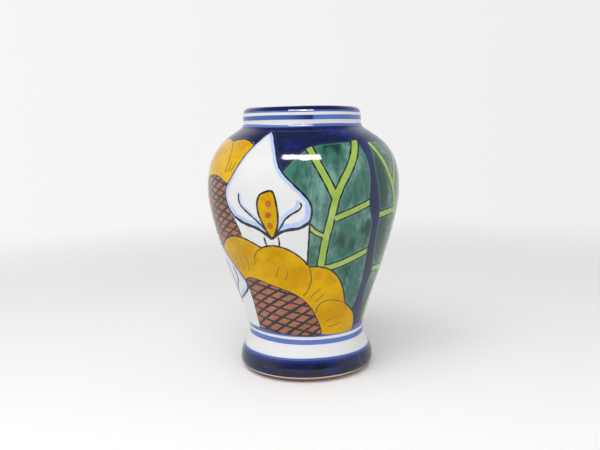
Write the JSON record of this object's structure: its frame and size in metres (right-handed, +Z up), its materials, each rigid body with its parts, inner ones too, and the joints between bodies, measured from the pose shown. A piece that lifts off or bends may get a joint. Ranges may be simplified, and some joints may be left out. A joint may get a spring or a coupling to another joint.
{
  "type": "talavera pottery vase",
  "caption": "Hand-painted tin-glazed earthenware vase with a flared foot, high ovoid body, short collar and rolled lip.",
  "frame": {"origin": "on the vase's axis, in the plane that it rests on", "axes": "+Z up along the vase's axis, -Y towards the side with the upright calla lily, +X to that side's right"},
  "size_m": [0.198, 0.198, 0.27],
  "materials": {
    "terracotta": "matte",
    "slip": "matte",
    "tin_glaze": "gloss"
  },
  "bodies": {
    "root": {"foot_ring": "terracotta", "floor_slab": "terracotta", "lower_wall": "terracotta", "upper_wall": "terracotta", "neck_collar": "terracotta", "rim_coil": "terracotta", "floor_slip": "slip", "foot_slip": "slip", "belly_slip": "slip", "neck_slip": "slip", "rim_slip": "slip", "outer_glaze": "tin_glaze", "inner_glaze": "tin_glaze"}
  },
  "joints": []
}
